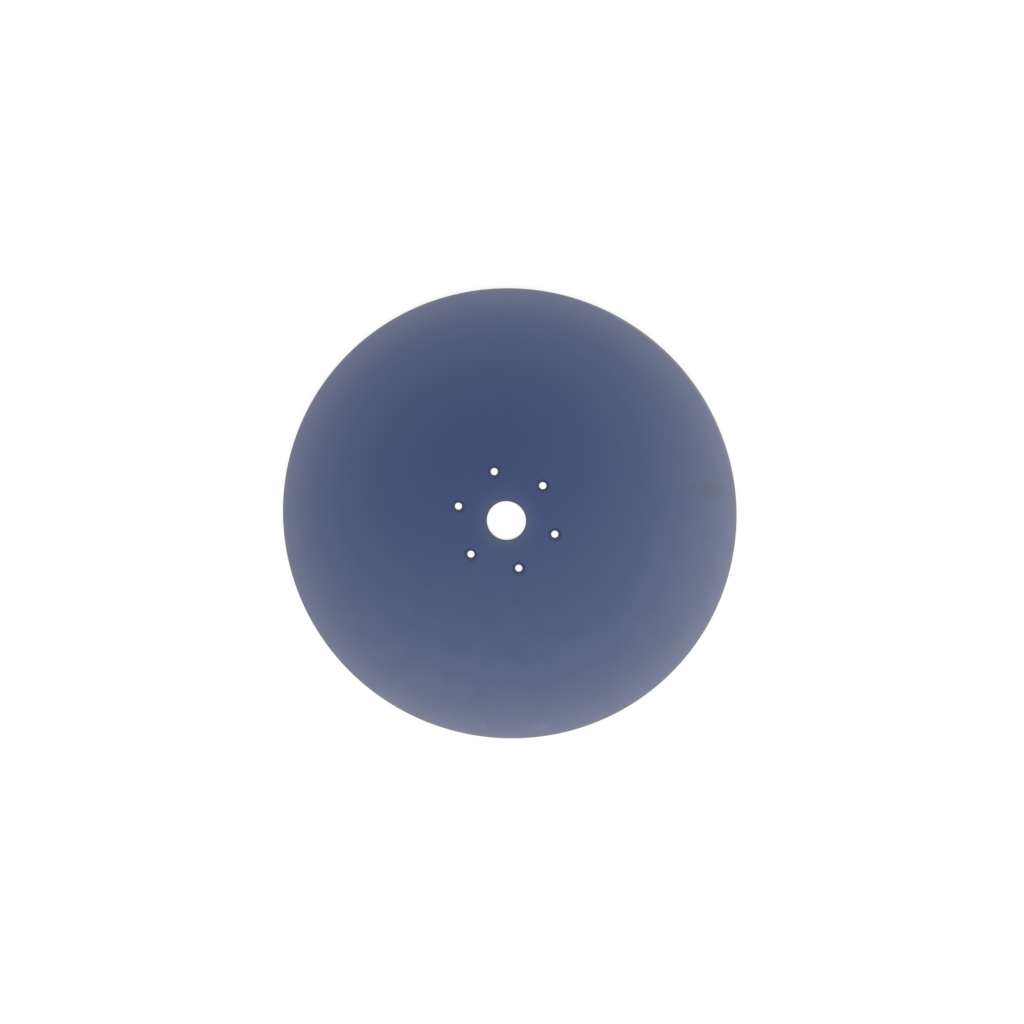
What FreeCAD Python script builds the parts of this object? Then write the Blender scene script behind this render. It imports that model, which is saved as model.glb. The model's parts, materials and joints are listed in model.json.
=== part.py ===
import FreeCAD, Part
import Sketcher
import os

# Seed drill disc: one flat round plate of hardened steel.
# It lies with its countersunk face up. The rear face, which seats on the hub, is at Z = 0
# and the centre bore is on the Z axis. The first bolt hole is on the X axis.

# Driving sizes, in millimetres and degrees
DRIVING_SIZES = [
    ("disc_diameter", 406.0, "across the cutting edge"),
    ("plate_thickness", 4.0, "front face to rear face"),
    ("bore_diameter", 35.0, "centre bore over the hub spigot"),
    ("bore_chamfer", 0.4, "edge break on both ends of the bore"),
    ("bevel_width", 9.0, "radial width of the ground bevel on the rear"),
    ("edge_land", 1.0, "thickness left at the cutting edge"),
    ("edge_round", 0.3, "rounding where the cutting edge meets the front face"),
    ("bolt_circle", 90.0, "diameter through the bolt hole centres"),
    ("bolt_count", 6, "bolt holes on the circle"),
    ("bolt_hole", 6.4, "straight part of a bolt hole"),
    ("countersink_mouth", 12.6, "countersink diameter at the front face"),
    ("countersink_angle", 90.0, "full angle of a countersink"),
]
LENGTH_TOLERANCE = 1e-6

# The two ends of a sketch line, and the fixed geometry that every sketch has
START = 1
END = 2
CENTRE = 3
X_AXIS_LINE = -1
ORIGIN_POINT = (-1, 1)


def fill_sheet(sheet, entries):
    for row, (alias, value, meaning) in enumerate(entries, start=1):
        sheet.set(f"A{row}", meaning)
        sheet.set(f"B{row}", str(value))
        sheet.setAlias(f"B{row}", alias)


def origin_feature(body, role):
    return next(item for item in body.Origin.OriginFeatures if item.Role == role)


def new_sketch(body, name, plane_role):
    sketch = body.newObject("Sketcher::SketchObject", name)
    sketch.AttachmentSupport = [(origin_feature(body, plane_role), "")]
    sketch.MapMode = "FlatFace"
    return sketch


def bind_dimension(sketch, name, expression, kind, *references):
    # A named dimension that follows the sheet
    value = float(sketch.evalExpression(expression))
    index = sketch.addConstraint(Sketcher.Constraint(kind, *references, value))
    sketch.renameConstraint(index, name)
    sketch.setExpression(f"Constraints.{name}", expression)


def circle_edges(shape, radius, height):
    # Names of the circular edges with this radius at this height
    names = []
    for number, edge in enumerate(shape.Edges, start=1):
        curve = edge.Curve
        if not isinstance(curve, Part.Circle):
            continue
        same_radius = abs(curve.Radius - radius) < LENGTH_TOLERANCE
        same_height = abs(curve.Center.z - height) < LENGTH_TOLERANCE
        if same_radius and same_height:
            names.append(f"Edge{number}")
    return names


def draw_half_section(sketch, sizes):
    # Half of the plate's section, in radius and height: the bore wall, the front face, the land
    # at the cutting edge, the ground bevel and the rear face
    bore_radius = sizes.bore_diameter / 2
    disc_radius = sizes.disc_diameter / 2
    corners = [
        (bore_radius, 0.0),
        (bore_radius, sizes.plate_thickness),
        (disc_radius, sizes.plate_thickness),
        (disc_radius, sizes.plate_thickness - sizes.edge_land),
        (disc_radius - sizes.bevel_width, 0.0),
    ]
    points = [FreeCAD.Vector(radius, height, 0) for radius, height in corners]
    lines = []
    for start, end in zip(points, points[1:] + points[:1]):
        lines.append(sketch.addGeometry(Part.LineSegment(start, end), False))
    bore_wall, front_face, land, bevel, rear_face = lines
    for line, following in zip(lines, lines[1:] + lines[:1]):
        sketch.addConstraint(Sketcher.Constraint("Coincident", line, END, following, START))
    for upright in (bore_wall, land):
        sketch.addConstraint(Sketcher.Constraint("Vertical", upright))
    for level in (front_face, rear_face):
        sketch.addConstraint(Sketcher.Constraint("Horizontal", level))
    sketch.addConstraint(Sketcher.Constraint("PointOnObject", rear_face, END, X_AXIS_LINE))
    bind_dimension(sketch, "bore_radius", "sizes.bore_diameter / 2", "DistanceX",
                   *ORIGIN_POINT, bore_wall, START)
    bind_dimension(sketch, "disc_radius", "sizes.disc_diameter / 2", "DistanceX",
                   *ORIGIN_POINT, front_face, END)
    bind_dimension(sketch, "thickness", "sizes.plate_thickness", "DistanceY",
                   bore_wall, START, bore_wall, END)
    bind_dimension(sketch, "land", "sizes.edge_land", "DistanceY",
                   land, END, land, START)
    bind_dimension(sketch, "bevel", "sizes.bevel_width", "DistanceX",
                   bevel, END, bevel, START)


def draw_bolt_circle_point(sketch, sizes):
    # One hole centre on the bolt circle, marked by a circle of the hole's size
    centre = FreeCAD.Vector(sizes.bolt_circle / 2, 0, 0)
    circle = sketch.addGeometry(Part.Circle(centre, FreeCAD.Vector(0, 0, 1), sizes.bolt_hole / 2), False)
    sketch.addConstraint(Sketcher.Constraint("PointOnObject", circle, CENTRE, X_AXIS_LINE))
    bind_dimension(sketch, "circle_radius", "sizes.bolt_circle / 2", "DistanceX",
                   *ORIGIN_POINT, circle, CENTRE)
    bind_dimension(sketch, "hole_radius", "sizes.bolt_hole / 2", "Radius", circle)


def build_disc(document, sizes):
    body = document.addObject("PartDesign::Body", "disc")
    body.Label = "disc"

    # The plate is the half section turned once round the bore axis
    section = new_sketch(body, "half_section", "XZ_Plane")
    draw_half_section(section, sizes)
    plate = body.newObject("PartDesign::Revolution", "plate")
    plate.Profile = section
    plate.ReferenceAxis = (section, ["V_Axis"])
    plate.Angle = 360
    document.recompute()

    # Both ends of the bore are broken by a small chamfer
    bore_radius = sizes.bore_diameter / 2
    bore_ends = circle_edges(plate.Shape, bore_radius, 0.0)
    bore_ends += circle_edges(plate.Shape, bore_radius, sizes.plate_thickness)
    chamfer = body.newObject("PartDesign::Chamfer", "bore_edges")
    chamfer.Base = (plate, bore_ends)
    chamfer.setExpression("Size", "sizes.bore_chamfer")
    document.recompute()

    # The cutting edge is slightly rounded where it meets the front face
    disc_radius = sizes.disc_diameter / 2
    rounding = body.newObject("PartDesign::Fillet", "cutting_edge_round")
    rounding.Base = (chamfer, circle_edges(chamfer.Shape, disc_radius, sizes.plate_thickness))
    rounding.setExpression("Radius", "sizes.edge_round")
    document.recompute()

    # A bolt hole runs through the plate from the front face, where it is countersunk for a
    # flat head that ends flush
    hole_centre = new_sketch(body, "bolt_hole_centre", "XY_Plane")
    hole_centre.setExpression("AttachmentOffset.Base.z", "sizes.plate_thickness")
    draw_bolt_circle_point(hole_centre, sizes)
    document.recompute()
    hole = body.newObject("PartDesign::Hole", "bolt_hole")
    hole.Profile = hole_centre
    hole.Threaded = False
    hole.DepthType = "ThroughAll"
    hole.setExpression("Diameter", "sizes.bolt_hole")
    hole.HoleCutType = "Countersink"
    hole.HoleCutCustomValues = True
    hole.setExpression("HoleCutDiameter", "sizes.countersink_mouth")
    hole.setExpression("HoleCutCountersinkAngle", "sizes.countersink_angle")
    document.recompute()

    # The bolt holes are spaced evenly round the bore
    holes = body.newObject("PartDesign::PolarPattern", "bolt_holes")
    holes.Originals = [hole]
    holes.Axis = (origin_feature(body, "Z_Axis"), [""])
    holes.Angle = 360
    holes.setExpression("Occurrences", "sizes.bolt_count")
    body.Tip = holes
    document.recompute()

    body.Placement = FreeCAD.Placement()
    check_holes_cut(rounding.Shape, holes.Shape, sizes)
    return body


def check_holes_cut(before, after, sizes):
    # Each hole takes away more than its straight part would
    straight = Part.makeCylinder(sizes.bolt_hole / 2, sizes.plate_thickness).Volume
    removed = before.Volume - after.Volume
    if removed <= sizes.bolt_count * straight:
        raise RuntimeError(f"the bolt holes took only {removed:.1f} mm3")


def check_objects(document):
    for item in document.Objects:
        if "Invalid" in item.State or "Error" in item.State:
            raise RuntimeError(f"{item.Name} failed: {item.State}")


def write_step(body):
    if body.Shape.isNull() or not body.Shape.isValid():
        raise RuntimeError(f"{body.Label} has no valid shape")
    body.Shape.exportStep(os.path.join("parts", f"{body.Label}.step"))


document = FreeCAD.newDocument("seed_drill_disc")
sizes = document.addObject("Spreadsheet::Sheet", "sizes")
fill_sheet(sizes, DRIVING_SIZES)
document.recompute()

disc = build_disc(document, sizes)
document.recompute()
check_objects(document)

os.makedirs("parts", exist_ok=True)
write_step(disc)
print(f"disc: {len(disc.Shape.Solids)} solid, {disc.Shape.Volume:.1f} mm3, box {disc.Shape.BoundBox}")
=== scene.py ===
import json
import math

import bmesh
import bpy
from mathutils import Matrix, Vector


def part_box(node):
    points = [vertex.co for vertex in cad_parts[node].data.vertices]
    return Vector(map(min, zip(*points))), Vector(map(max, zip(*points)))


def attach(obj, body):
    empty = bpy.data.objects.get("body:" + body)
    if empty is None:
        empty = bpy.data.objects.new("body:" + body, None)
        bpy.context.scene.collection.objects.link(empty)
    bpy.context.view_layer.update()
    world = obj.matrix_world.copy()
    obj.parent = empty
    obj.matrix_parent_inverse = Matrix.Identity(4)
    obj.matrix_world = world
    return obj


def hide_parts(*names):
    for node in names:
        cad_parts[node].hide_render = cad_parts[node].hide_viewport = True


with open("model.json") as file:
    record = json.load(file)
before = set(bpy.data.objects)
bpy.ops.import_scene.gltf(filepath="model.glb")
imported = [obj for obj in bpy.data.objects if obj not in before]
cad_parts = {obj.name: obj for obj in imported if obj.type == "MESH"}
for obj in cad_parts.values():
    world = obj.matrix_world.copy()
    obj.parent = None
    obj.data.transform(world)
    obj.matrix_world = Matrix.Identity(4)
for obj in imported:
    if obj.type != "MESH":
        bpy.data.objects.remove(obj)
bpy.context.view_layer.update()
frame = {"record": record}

# The steel plate: a flat round blank, cut, bored and ground with a bevel behind its edge.
# It is turned here from its half section. Its outline, thickness and bore are the CAD disc's,
# and its corners are slightly rounded, as a coat of paint leaves them.
MM = 0.001
disc_low, disc_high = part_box("disc")
mounts = {mount["name"]: mount for mount in frame["record"]["mounts"]}
disc_radius = round(disc_high[0] - disc_low[0], 4) / 2
plate_thickness = round(disc_high[2] - disc_low[2], 4)
bore_radius = mounts["hub_bore"]["dims"]["r_mm"] * MM
bore_chamfer = (plate_thickness - mounts["hub_bore"]["dims"]["length_mm"] * MM) / 2
bevel_width = 9.0 * MM
edge_land = 1.0 * MM
edge_round = 0.3 * MM
corner_round = 0.15 * MM
ROUND_STEPS = 6
PLATE_SEGMENTS = 512
MERGE_DISTANCE = 0.0001 * MM


def direction(bearing, rise=0.0):
    # The direction at this angle from +X round the bore axis, and at this angle above level
    return Vector((math.cos(bearing) * math.cos(rise), math.sin(bearing) * math.cos(rise), math.sin(rise)))


def rounded_corner(before, corner, after, radius):
    # Points of the arc that rounds one corner of a profile
    before, corner, after = Vector(before), Vector(corner), Vector(after)
    to_before = (before - corner).normalized()
    to_after = (after - corner).normalized()
    half_angle = to_before.angle(to_after) / 2
    reach = radius / math.tan(half_angle)
    centre = corner + (to_before + to_after).normalized() * radius / math.sin(half_angle)
    first = corner + to_before * reach - centre
    last = corner + to_after * reach - centre
    turn = first.angle(last)
    points = []
    for step in range(ROUND_STEPS + 1):
        share = turn * step / ROUND_STEPS
        points.append(centre + (first * math.sin(turn - share) + last * math.sin(share)) / math.sin(turn))
    return points


def turned_mesh(name, profile, segments):
    # A closed profile in radius and height, turned once about Z
    solid = bmesh.new()
    rings = []
    for segment in range(segments):
        outward = direction(2 * math.pi * segment / segments)
        rings.append([solid.verts.new(outward * point[0] + Vector((0, 0, point[1]))) for point in profile])
    for segment, ring in enumerate(rings):
        beside = rings[(segment + 1) % segments]
        for index in range(len(profile)):
            ahead = (index + 1) % len(profile)
            solid.faces.new((ring[index], ring[ahead], beside[ahead], beside[index]))
    bmesh.ops.remove_doubles(solid, verts=solid.verts, dist=MERGE_DISTANCE)
    bmesh.ops.recalc_face_normals(solid, faces=solid.faces)
    mesh = bpy.data.meshes.new(name)
    solid.to_mesh(mesh)
    solid.free()
    return mesh


section = [
    ((bore_radius, bore_chamfer), corner_round),
    ((bore_radius, plate_thickness - bore_chamfer), corner_round),
    ((bore_radius + bore_chamfer, plate_thickness), corner_round),
    ((disc_radius, plate_thickness), edge_round),
    ((disc_radius, plate_thickness - edge_land), corner_round),
    ((disc_radius - bevel_width, 0.0), corner_round),
    ((bore_radius + bore_chamfer, 0.0), corner_round),
]
plate_profile = []
for index, (corner, radius) in enumerate(section):
    before = section[index - 1][0]
    after = section[(index + 1) % len(section)][0]
    plate_profile += rounded_corner(before, corner, after, radius)
plate = bpy.data.objects.new("plate", turned_mesh("plate", plate_profile, PLATE_SEGMENTS))
bpy.context.collection.objects.link(plate)

# The paint: a satin slate-blue enamel sprayed over the plate, its edges and its bolt holes.
# It is deep blue between the bore and the rim. Towards the rim it is lightened with a painted
# reflection, and round the bore with a painted glare, and close to the bore it is greyer. On the
# cutting edge and in the bolt holes, light grey is painted in as painted light.
ENAMEL_BLUE = "#223767"
# Painted reflection and glare: paler blue towards the rim and round the bore, and a paler band at the rim
REFLECTION_PALE_BLUE = "#5A6581"
RIM_REFLECTION_BLUE = "#696D88"
# Painted light: grey painted on the cutting edge and on the sunk walls
PAINTED_LIGHT_GREY = "#74767D"
BORE_GREY = "#414758"
# Painted highlight on part of the cutting edge
HIGHLIGHT_GREY = "#9A9A9A"
SCUFF_BLUE = "#696F8E"
SMUDGE_TINT = "#EAEDE3"
ENAMEL_IOR = 1.4
ENAMEL_ROUGHNESS = (0.35, 0.41)
REFLECTION_POWER = 3.43
RIM_REFLECTION_WIDTH = 40.0 * MM
RIM_REFLECTION_POWER = 3.54
# Painted glare round the bore
BORE_GLARE_WIDTH = 22.0 * MM
BORE_GLARE_POWER = 2.5
BORE_GLARE_SHARE = 0.30
BORE_GREY_WIDTH = 4.5 * MM
# Painted reflection grey on the cutting edge
EDGE_LIGHT_WIDTH = 4.0 * MM
EDGE_LIGHT_SHARE = 0.85
EDGE_FADE_POWER = 1.5
# Where along the rim the painted highlight lies, and how wide and strong it is
HIGHLIGHT_WIDTH = 2.5 * MM
HIGHLIGHT_SHARE = 0.55
HIGHLIGHT_BEARING = math.radians(59.0)
HIGHLIGHT_END = math.radians(32.0)
HIGHLIGHT_FULL = math.radians(18.0)
# Painted light on the sunk walls: less on walls facing the soft boxes, more on walls in their shade
LIT_WALL_LIGHT_SHARE = 0.07
SHADED_WALL_LIGHT_SHARE = 0.30
HOLE_ZONE = 60.0 * MM
SUNK_START = 0.02 * MM
SUNK_FULL = 0.12 * MM
# The side from which the soft boxes light the sunk walls
LIT_SIDE_BEARING = math.radians(-75.0)
COUNTERSINK_LEAN = math.radians(45.0)
MARK_TURN = math.radians(16.3)
MARK_DEPTH = 1.0 * MM
MARK_GRAIN = 5.0 * MM
MARK_RAGGED = 0.8
SHEEN_WIDTH = 22.0 * MM
ORANGE_PEEL_WIDTH = 1.6 * MM
ORANGE_PEEL_DEPTH = 0.004 * MM
NIB_SPACING = 20.0 * MM
NIB_RADIUS = 0.4 * MM
NIB_HEIGHT = 0.05 * MM

# The range in which most of a noise lies, and the numbers of a Mix node's colour sockets
NOISE_LOW, NOISE_HIGH = 0.3, 0.7
MIX_FACTOR, MIX_A, MIX_B, MIX_RESULT = 0, 6, 7, 2


def srgb(hex_colour):
    # The linear colour of a hex value
    channels = [int(hex_colour[start:start + 2], 16) / 255 for start in (1, 3, 5)]
    linear = [c / 12.92 if c <= 0.04045 else ((c + 0.055) / 1.055) ** 2.4 for c in channels]
    return (*linear, 1.0)


def add_node(tree, kind, inputs=None, **settings):
    # Adds one node, applies its settings, and sets or links its inputs
    node = tree.nodes.new(kind)
    for name, value in settings.items():
        setattr(node, name, value)
    for key, value in (inputs or {}).items():
        if isinstance(value, bpy.types.NodeSocket):
            tree.links.new(value, node.inputs[key])
        else:
            node.inputs[key].default_value = value
    return node


def ramp(tree, value, start, end, power):
    # A share that rises from 0 where the value is at the start to 1 where it is at the end
    share = add_node(tree, "ShaderNodeMapRange", {"Value": value, "From Min": start, "From Max": end})
    bent = add_node(tree, "ShaderNodeMath", {0: share.outputs["Result"], 1: power}, operation="POWER")
    return bent.outputs["Value"]


enamel = bpy.data.materials.new("satin_slate_blue_enamel")
enamel.use_nodes = True
coat = enamel.node_tree
surface = coat.nodes["Principled BSDF"]
surface.inputs["IOR"].default_value = ENAMEL_IOR
coordinates = add_node(coat, "ShaderNodeTexCoord").outputs
place = coordinates["Object"]
facing = coordinates["Normal"]

# How far out a point is decides how much painted reflection and painted glare lighten the paint there
flat = add_node(coat, "ShaderNodeVectorMath", {0: place, 1: (1.0, 1.0, 0.0)}, operation="MULTIPLY")
radius_here = add_node(coat, "ShaderNodeVectorMath", {0: flat.outputs["Vector"]},
                       operation="LENGTH").outputs["Value"]
reflection_toward_rim = ramp(coat, radius_here, 0.0, disc_radius, REFLECTION_POWER)
# Painted glare: paler round the bore, added to the painted reflection
bore_glare = ramp(coat, radius_here, bore_radius + BORE_GLARE_WIDTH, bore_radius, BORE_GLARE_POWER)
reflection_and_glare_share = add_node(coat, "ShaderNodeMath", {0: bore_glare, 1: BORE_GLARE_SHARE, 2: reflection_toward_rim},
                      operation="MULTIPLY_ADD")
colour_with_reflection = add_node(coat, "ShaderNodeMix", {MIX_FACTOR: reflection_and_glare_share.outputs["Value"],
                                               MIX_A: srgb(ENAMEL_BLUE), MIX_B: srgb(REFLECTION_PALE_BLUE)},
                       data_type="RGBA")
# Painted reflection: paler still in a band out to the rim
rim_band_reflection = ramp(coat, radius_here, disc_radius - RIM_REFLECTION_WIDTH, disc_radius, RIM_REFLECTION_POWER)
colour_with_rim_reflection = add_node(coat, "ShaderNodeMix", {MIX_FACTOR: rim_band_reflection, MIX_A: colour_with_reflection.outputs[MIX_RESULT],
                                              MIX_B: srgb(RIM_REFLECTION_BLUE)}, data_type="RGBA")
bore_grey = ramp(coat, radius_here, bore_radius + BORE_GREY_WIDTH, bore_radius, EDGE_FADE_POWER)
coat_colour = add_node(coat, "ShaderNodeMix", {MIX_FACTOR: bore_grey, MIX_A: colour_with_rim_reflection.outputs[MIX_RESULT],
                                               MIX_B: srgb(BORE_GREY)}, data_type="RGBA")

# Light grey is painted in over the last few millimetres to the rim, a painted reflection on the
# cutting edge. On the sunk walls near the bore it is painted light that lightens their shade, most
# of all on the walls that face away from the soft boxes
height_here = add_node(coat, "ShaderNodeSeparateXYZ", {"Vector": place}).outputs["Z"]
depth_here = add_node(coat, "ShaderNodeMath", {0: plate_thickness, 1: height_here}, operation="SUBTRACT")
sunk_by = add_node(coat, "ShaderNodeMath", {0: height_here, 1: depth_here.outputs["Value"]},
                   operation="MINIMUM")
sunk_share = ramp(coat, sunk_by.outputs["Value"], SUNK_START, SUNK_FULL, 1.0)
by_holes = add_node(coat, "ShaderNodeMath", {0: radius_here, 1: HOLE_ZONE}, operation="LESS_THAN")
hole_share = add_node(coat, "ShaderNodeMath", {0: sunk_share, 1: by_holes.outputs["Value"]},
                      operation="MULTIPLY")
toward_lit_side = add_node(coat, "ShaderNodeVectorMath", {0: facing, 1: direction(LIT_SIDE_BEARING)},
                        operation="DOT_PRODUCT")
wall_fill_light = add_node(coat, "ShaderNodeMapRange",
                     {"Value": toward_lit_side.outputs["Value"], "From Min": math.sin(COUNTERSINK_LEAN),
                      "From Max": -math.sin(COUNTERSINK_LEAN), "To Min": LIT_WALL_LIGHT_SHARE,
                      "To Max": SHADED_WALL_LIGHT_SHARE})
hole_light = add_node(coat, "ShaderNodeMath", {0: hole_share.outputs["Value"],
                                              1: wall_fill_light.outputs["Result"]}, operation="MULTIPLY")
edge_light_share = ramp(coat, radius_here, disc_radius - EDGE_LIGHT_WIDTH, disc_radius, EDGE_FADE_POWER)
painted_light_share = add_node(coat, "ShaderNodeMath", {0: edge_light_share, 1: EDGE_LIGHT_SHARE,
                                               2: hole_light.outputs["Value"]}, operation="MULTIPLY_ADD")
painted_light_colour = add_node(coat, "ShaderNodeMix", {MIX_FACTOR: painted_light_share.outputs["Value"],
                                               MIX_A: coat_colour.outputs[MIX_RESULT],
                                               MIX_B: srgb(PAINTED_LIGHT_GREY)}, data_type="RGBA")

# Along part of the rim a fine light grey line is painted on the corner of the cutting edge: a painted
# highlight where the rounded edge catches the light
toward_side = add_node(coat, "ShaderNodeVectorMath",
                       {0: place, 1: direction(HIGHLIGHT_BEARING) / disc_radius}, operation="DOT_PRODUCT")
along_rim = ramp(coat, toward_side.outputs["Value"], math.cos(HIGHLIGHT_END), math.cos(HIGHLIGHT_FULL), 1.0)
at_edge = ramp(coat, radius_here, disc_radius - HIGHLIGHT_WIDTH, disc_radius, EDGE_FADE_POWER)
edge_highlight = add_node(coat, "ShaderNodeMath", {0: along_rim, 1: at_edge}, operation="MULTIPLY")
edge_highlight_share = add_node(coat, "ShaderNodeMath", {0: edge_highlight.outputs["Value"], 1: HIGHLIGHT_SHARE},
                        operation="MULTIPLY")
edge_colour = add_node(coat, "ShaderNodeMix", {MIX_FACTOR: edge_highlight_share.outputs["Value"],
                                               MIX_A: painted_light_colour.outputs[MIX_RESULT],
                                               MIX_B: srgb(HIGHLIGHT_GREY)}, data_type="RGBA")

# Three faint marks lie near the rim: two small light scuffs and a larger dull smudge
front_centre = Vector((0.0, 0.0, plate_thickness))
ragged = add_node(coat, "ShaderNodeTexNoise", {"Vector": place, "Scale": 1 / MARK_GRAIN, "Detail": 2.0})


def mark_share(radius, bearing, half_length, half_width):
    # How much of a mark shows: all of it in the middle, and nothing past its ragged outline
    middle = front_centre + radius * direction(bearing)
    from_middle = add_node(coat, "ShaderNodeMapping",
                           {"Vector": place, "Location": middle, "Rotation": (0.0, 0.0, MARK_TURN),
                            "Scale": (half_length, half_width, MARK_DEPTH)}, vector_type="TEXTURE")
    distance = add_node(coat, "ShaderNodeVectorMath", {0: from_middle.outputs["Vector"]}, operation="LENGTH")
    reach = add_node(coat, "ShaderNodeMath", {0: ragged.outputs["Fac"], 1: MARK_RAGGED,
                                              2: distance.outputs["Value"]}, operation="MULTIPLY_ADD")
    return ramp(coat, reach.outputs["Value"], 1 + MARK_RAGGED / 2, MARK_RAGGED / 2, 1.0)


short_scuff = mark_share(192.7 * MM, math.radians(-80.7), half_length=2.8 * MM, half_width=4.2 * MM)
long_scuff = mark_share(194.5 * MM, math.radians(-64.5), half_length=10.0 * MM, half_width=3.6 * MM)
smudge = mark_share(180.0 * MM, math.radians(25.1), half_length=23.0 * MM, half_width=10.0 * MM)
scuffed = add_node(coat, "ShaderNodeMath", {0: short_scuff, 1: long_scuff}, operation="MAXIMUM")
scuffed_colour = add_node(coat, "ShaderNodeMix", {MIX_FACTOR: scuffed.outputs["Value"],
                                                  MIX_A: edge_colour.outputs[MIX_RESULT],
                                                  MIX_B: srgb(SCUFF_BLUE)}, data_type="RGBA")
seen_colour = add_node(coat, "ShaderNodeMix", {MIX_FACTOR: smudge,
                                               MIX_A: scuffed_colour.outputs[MIX_RESULT],
                                               MIX_B: srgb(SMUDGE_TINT)},
                       data_type="RGBA", blend_type="MULTIPLY")
coat.links.new(seen_colour.outputs[MIX_RESULT], surface.inputs["Base Color"])

# Sprayed enamel has a faint orange peel, a sheen that is a little uneven and a few dust nibs
cloud = add_node(coat, "ShaderNodeTexNoise", {"Vector": place, "Scale": 1 / SHEEN_WIDTH, "Detail": 3.0})
sheen = add_node(coat, "ShaderNodeMapRange",
                 {"Value": cloud.outputs["Fac"], "From Min": NOISE_LOW, "From Max": NOISE_HIGH,
                  "To Min": ENAMEL_ROUGHNESS[0], "To Max": ENAMEL_ROUGHNESS[1]})
coat.links.new(sheen.outputs["Result"], surface.inputs["Roughness"])
peel = add_node(coat, "ShaderNodeTexNoise", {"Vector": place, "Scale": 1 / ORANGE_PEEL_WIDTH, "Detail": 1.0})
relief = add_node(coat, "ShaderNodeBump", {"Height": peel.outputs["Fac"], "Strength": 1.0,
                                           "Distance": ORANGE_PEEL_DEPTH})
dust = add_node(coat, "ShaderNodeTexVoronoi", {"Vector": place, "Scale": 1 / NIB_SPACING})
nib = ramp(coat, dust.outputs["Distance"], NIB_RADIUS / NIB_SPACING, 0.0, 1.0)
nibs = add_node(coat, "ShaderNodeBump", {"Height": nib, "Strength": 1.0, "Distance": NIB_HEIGHT,
                                         "Normal": relief.outputs["Normal"]})
coat.links.new(nibs.outputs["Normal"], surface.inputs["Normal"])

# The bolt holes: drilled on one circle round the bore and countersunk from the front, so that
# flat heads end flush. One cutter has the shape of a hole with the edge of its mouth rounded.
# Geometry Nodes repeats it round the circle and cuts the holes out of the plate.
bolt_circle_radius = mounts["hub_bolts"]["dims"]["pcd_mm"] * MM / 2
bolt_hole_count = mounts["hub_bolts"]["dims"]["count"]
bolt_hole_radius = mounts["hub_bolts"]["dims"]["hole_r_mm"] * MM
countersink_radius = 6.3 * MM
cutter_overshoot = 1.0 * MM
cutter_clearance = 0.1 * MM
MOUTH_ROUND_ANGLES = (135, 125, 115, 105, 97)
CUTTER_SEGMENTS = 96


def hole_profile():
    # The cone's side leans by 45 degrees. The rounding at its mouth stops a few degrees short
    # of level, and the cutter goes on along that slope until it is clear of the front face.
    cone_foot = plate_thickness - (countersink_radius - bolt_hole_radius)
    round_centre = Vector((countersink_radius + corner_round * math.tan(COUNTERSINK_LEAN / 2),
                           plate_thickness - corner_round))
    profile = [(0.0, -cutter_overshoot), (bolt_hole_radius, -cutter_overshoot),
               (bolt_hole_radius, cone_foot)]
    for bearing in MOUTH_ROUND_ANGLES:
        angle = math.radians(bearing)
        profile.append(round_centre + corner_round * Vector((math.cos(angle), math.sin(angle))))
    end_slope = math.radians(MOUTH_ROUND_ANGLES[-1] - 90)
    profile.append(profile[-1] + Vector((cutter_clearance / math.tan(end_slope), cutter_clearance)))
    profile.append((profile[-1][0], plate_thickness + cutter_overshoot))
    profile.append((0.0, plate_thickness + cutter_overshoot))
    return profile


cutter = bpy.data.objects.new("hole_cutter", turned_mesh("hole_cutter", hole_profile(), CUTTER_SEGMENTS))
bpy.context.collection.objects.link(cutter)

holes = bpy.data.node_groups.new("bolt_holes", "GeometryNodeTree")
for name, kind in (("Plate", "Geometry"), ("Cutter", "Object"), ("Bolt circle radius", "Float"),
                   ("Hole count", "Int"), ("Finish", "Material")):
    holes.interface.new_socket(name, in_out="INPUT", socket_type=f"NodeSocket{kind}")
holes.interface.new_socket("Drilled plate", in_out="OUTPUT", socket_type="NodeSocketGeometry")
given = add_node(holes, "NodeGroupInput").outputs
circle = add_node(holes, "GeometryNodeMeshCircle",
                  {"Vertices": given["Hole count"], "Radius": given["Bolt circle radius"]})
tool = add_node(holes, "GeometryNodeObjectInfo", {"Object": given["Cutter"]})
tools = add_node(holes, "GeometryNodeInstanceOnPoints",
                 {"Points": circle.outputs["Mesh"], "Instance": tool.outputs["Geometry"]})
drilled = add_node(holes, "GeometryNodeMeshBoolean",
                   {"Mesh 1": given["Plate"], "Mesh 2": tools.outputs["Instances"]},
                   operation="DIFFERENCE", solver="EXACT")
single = add_node(holes, "GeometryNodeRealizeInstances", {"Geometry": drilled.outputs["Mesh"]})
painted = add_node(holes, "GeometryNodeSetMaterial",
                   {"Geometry": single.outputs["Geometry"], "Material": given["Finish"]})
add_node(holes, "NodeGroupOutput", {"Drilled plate": painted.outputs["Geometry"]})

drilling = plate.modifiers.new("bolt_holes", "NODES")
drilling.node_group = holes
chosen = {"Cutter": cutter, "Bolt circle radius": bolt_circle_radius, "Hole count": bolt_hole_count,
          "Finish": enamel}
for socket in holes.interface.items_tree:
    if socket.name in chosen:
        drilling[socket.identifier] = chosen[socket.name]
drilled_mesh = bpy.data.meshes.new_from_object(plate.evaluated_get(bpy.context.evaluated_depsgraph_get()))
bpy.data.objects.remove(plate)
bpy.data.objects.remove(cutter)

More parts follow.
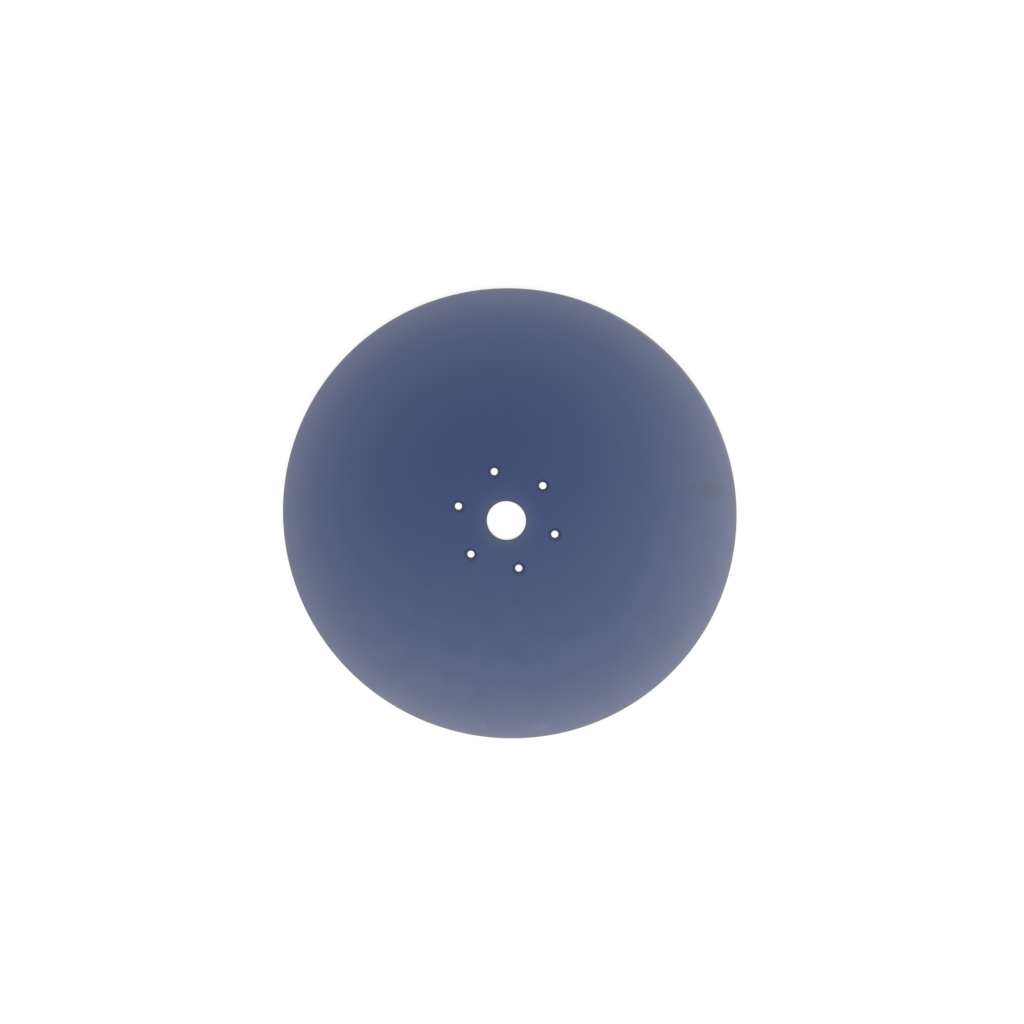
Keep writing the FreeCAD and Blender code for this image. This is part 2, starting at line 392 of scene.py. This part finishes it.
# The bore's wall: reamed to size for the hub's spigot and plugged while the plate is sprayed,
# so that it stays bare bright steel with fine tool rings. Its chamfers are painted.
BARE_STEEL = "#C4C6C8"
STEEL_ROUGHNESS = (0.18, 0.32)
TOOL_RING_PITCH = 0.12 * MM
TOOL_RING_DEPTH = 0.002 * MM
TOOL_RING_STRETCH = 0.05
WALL_TOLERANCE = 0.01 * MM
steel = bpy.data.materials.new("reamed_bright_steel")
steel.use_nodes = True
bare = steel.node_tree
bare_surface = bare.nodes["Principled BSDF"]
bare_surface.inputs["Base Color"].default_value = srgb(BARE_STEEL)
bare_surface.inputs["Metallic"].default_value = 1.0
spot = add_node(bare, "ShaderNodeTexCoord").outputs["Object"]
along_wall = add_node(bare, "ShaderNodeVectorMath",
                      {0: spot, 1: (TOOL_RING_STRETCH, TOOL_RING_STRETCH, 1.0)}, operation="MULTIPLY")
rings = add_node(bare, "ShaderNodeTexNoise",
                 {"Vector": along_wall.outputs["Vector"], "Scale": 1 / TOOL_RING_PITCH, "Detail": 2.0})
polish = add_node(bare, "ShaderNodeMapRange",
                  {"Value": rings.outputs["Fac"], "From Min": NOISE_LOW, "From Max": NOISE_HIGH,
                   "To Min": STEEL_ROUGHNESS[0], "To Max": STEEL_ROUGHNESS[1]})
bare.links.new(polish.outputs["Result"], bare_surface.inputs["Roughness"])
scored = add_node(bare, "ShaderNodeBump", {"Height": rings.outputs["Fac"], "Distance": TOOL_RING_DEPTH})
bare.links.new(scored.outputs["Normal"], bare_surface.inputs["Normal"])

drilled_mesh.materials.append(steel)
bare_index = len(drilled_mesh.materials) - 1
for face in drilled_mesh.polygons:
    if face.center.xy.length < bore_radius + WALL_TOLERANCE:
        face.material_index = bare_index

# The finished disc: one piece of steel, with its flat faces shaded flat and its rounded edges
# smooth. It stands for the CAD disc.
SHARP_EDGE = math.radians(40)
drilled_mesh.shade_smooth()
drilled_mesh.set_sharp_from_angle(angle=SHARP_EDGE)
painted_disc = bpy.data.objects.new("painted_disc", drilled_mesh)
bpy.context.collection.objects.link(painted_disc)
flatten = painted_disc.modifiers.new("flat_faces", "WEIGHTED_NORMAL")
flatten.mode = "FACE_AREA"
flatten.keep_sharp = True
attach(painted_disc, "root")
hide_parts("disc")

# The studio: a white floor, a white surround and two soft boxes overhead. The camera sees the
# floor and the surround as white, and the floor keeps the soft shadow that the disc casts.
# From below, the floor can be seen through, and the surround lights the rear face.
FLOOR_SIZE = 12.0
FLOOR_GAP = 0.05 * MM
FLOOR_TONE = "#7C7C7C"
FLOOR_GLOW = 0.81
FAR_GLOW = 0.2
FAR_GLOW_START = 0.2
FAR_GLOW_END = 1.2
SURROUND_LIGHT = 0.56
LAMP_WIDTH = 0.81
LAMP_DISTANCE = 1.62
LAMP_RISE = math.radians(62.0)


def seen_directly(tree):
    # 1 for what the camera sees, in a reflection or through glass too, and 0 for other light
    rays = add_node(tree, "ShaderNodeLightPath").outputs
    plain = add_node(tree, "ShaderNodeMath", {0: rays["Is Camera Ray"], 1: rays["Is Glossy Ray"]},
                     operation="MAXIMUM")
    seen = add_node(tree, "ShaderNodeMath", {0: plain.outputs["Value"], 1: rays["Is Transmission Ray"]},
                    operation="MAXIMUM")
    return seen.outputs["Value"]


floor_mesh = bpy.data.meshes.new("floor")
half_floor = FLOOR_SIZE / 2
floor_corners = [(-half_floor, -half_floor, -FLOOR_GAP), (half_floor, -half_floor, -FLOOR_GAP),
                 (half_floor, half_floor, -FLOOR_GAP), (-half_floor, half_floor, -FLOOR_GAP)]
floor_mesh.from_pydata(floor_corners, [], [(0, 1, 2, 3)])
floor = bpy.data.objects.new("floor", floor_mesh)
bpy.context.collection.objects.link(floor)
floor_paper = bpy.data.materials.new("white_paper")
floor_paper.use_nodes = True
paper = floor_paper.node_tree
paper.nodes.remove(paper.nodes["Principled BSDF"])
matt = add_node(paper, "ShaderNodeBsdfDiffuse", {"Color": srgb(FLOOR_TONE)})
floor_place = add_node(paper, "ShaderNodeTexCoord").outputs["Object"]
floor_distance = add_node(paper, "ShaderNodeVectorMath", {0: floor_place}, operation="LENGTH")
far_share = ramp(paper, floor_distance.outputs["Value"], FAR_GLOW_START, FAR_GLOW_END, 1.0)
glow_level = add_node(paper, "ShaderNodeMath", {0: far_share, 1: FAR_GLOW, 2: FLOOR_GLOW},
                      operation="MULTIPLY_ADD")
glow_seen = add_node(paper, "ShaderNodeMath", {0: seen_directly(paper), 1: glow_level.outputs["Value"]},
                     operation="MULTIPLY")
glow = add_node(paper, "ShaderNodeEmission", {"Strength": glow_seen.outputs["Value"]})
top_side = add_node(paper, "ShaderNodeAddShader", {0: matt.outputs["BSDF"], 1: glow.outputs["Emission"]})
below = add_node(paper, "ShaderNodeNewGeometry").outputs["Backfacing"]
scattered = add_node(paper, "ShaderNodeLightPath").outputs["Is Diffuse Ray"]
let_through = add_node(paper, "ShaderNodeMath", {0: below, 1: scattered}, operation="MAXIMUM")
clear_side = add_node(paper, "ShaderNodeBsdfTransparent")
both_sides = add_node(paper, "ShaderNodeMixShader",
                      {0: let_through.outputs["Value"], 1: top_side.outputs["Shader"],
                       2: clear_side.outputs["BSDF"]})
paper.links.new(both_sides.outputs["Shader"], paper.nodes["Material Output"].inputs["Surface"])
floor_mesh.materials.append(floor_paper)

surround = bpy.data.worlds.new("white_surround")
bpy.context.scene.world = surround
surround.use_nodes = True
air = surround.node_tree
air_level = add_node(air, "ShaderNodeMapRange", {"Value": seen_directly(air), "To Min": SURROUND_LIGHT,
                                                 "To Max": 1.0})
air.links.new(air_level.outputs["Result"], air.nodes["Background"].inputs["Strength"])
air.nodes["Background"].inputs["Color"].default_value = srgb("#FFFFFF")


def soft_box(name, bearing, radiance):
    # A square lamp that stands high on this side of the disc and faces it
    lamp = bpy.data.lights.new(name, "AREA")
    lamp.shape = "SQUARE"
    lamp.size = LAMP_WIDTH
    lamp.energy = radiance * math.pi * LAMP_WIDTH ** 2
    stand = bpy.data.objects.new(name, lamp)
    away = direction(bearing, LAMP_RISE)
    stand.location = away * LAMP_DISTANCE
    stand.rotation_euler = away.to_track_quat("Z", "Y").to_euler()
    bpy.context.collection.objects.link(stand)


soft_box("lower_soft_box", bearing=math.radians(-91.0), radiance=2.8)
soft_box("right_soft_box", bearing=math.radians(-10.0), radiance=4.0)

# The camera: it looks down on the disc from a little to one side, as in the photograph.
# It aims at a point beside the bore, and PICTURE_UP is the bearing that is up in the picture.
PICTURE_UP = math.radians(105.89)
CAMERA_SIDE = math.radians(80.69)
CAMERA_RISE = math.radians(80.79)
CAMERA_DISTANCE = 835.3 * MM
AIM_SIDE = math.radians(73.2)
AIM_OFFSET = 9.4 * MM
PICTURE_PIXELS = 1024
FOCAL_PIXELS = 935.0
SENSOR_WIDTH = 36.0

eye = front_centre + CAMERA_DISTANCE * direction(CAMERA_SIDE, CAMERA_RISE)
aim = front_centre + AIM_OFFSET * direction(AIM_SIDE)
forward = (aim - eye).normalized()
right = forward.cross(direction(PICTURE_UP)).normalized()
up = right.cross(forward)
camera = bpy.data.cameras.new("camera")
camera.sensor_width = SENSOR_WIDTH
camera.lens = SENSOR_WIDTH * FOCAL_PIXELS / PICTURE_PIXELS
camera_stand = bpy.data.objects.new("camera", camera)
camera_stand.matrix_world = Matrix.Translation(eye) @ Matrix((right, up, -forward)).transposed().to_4x4()
bpy.context.collection.objects.link(camera_stand)
bpy.context.scene.camera = camera_stand
bpy.context.scene.view_settings.view_transform = "Standard"
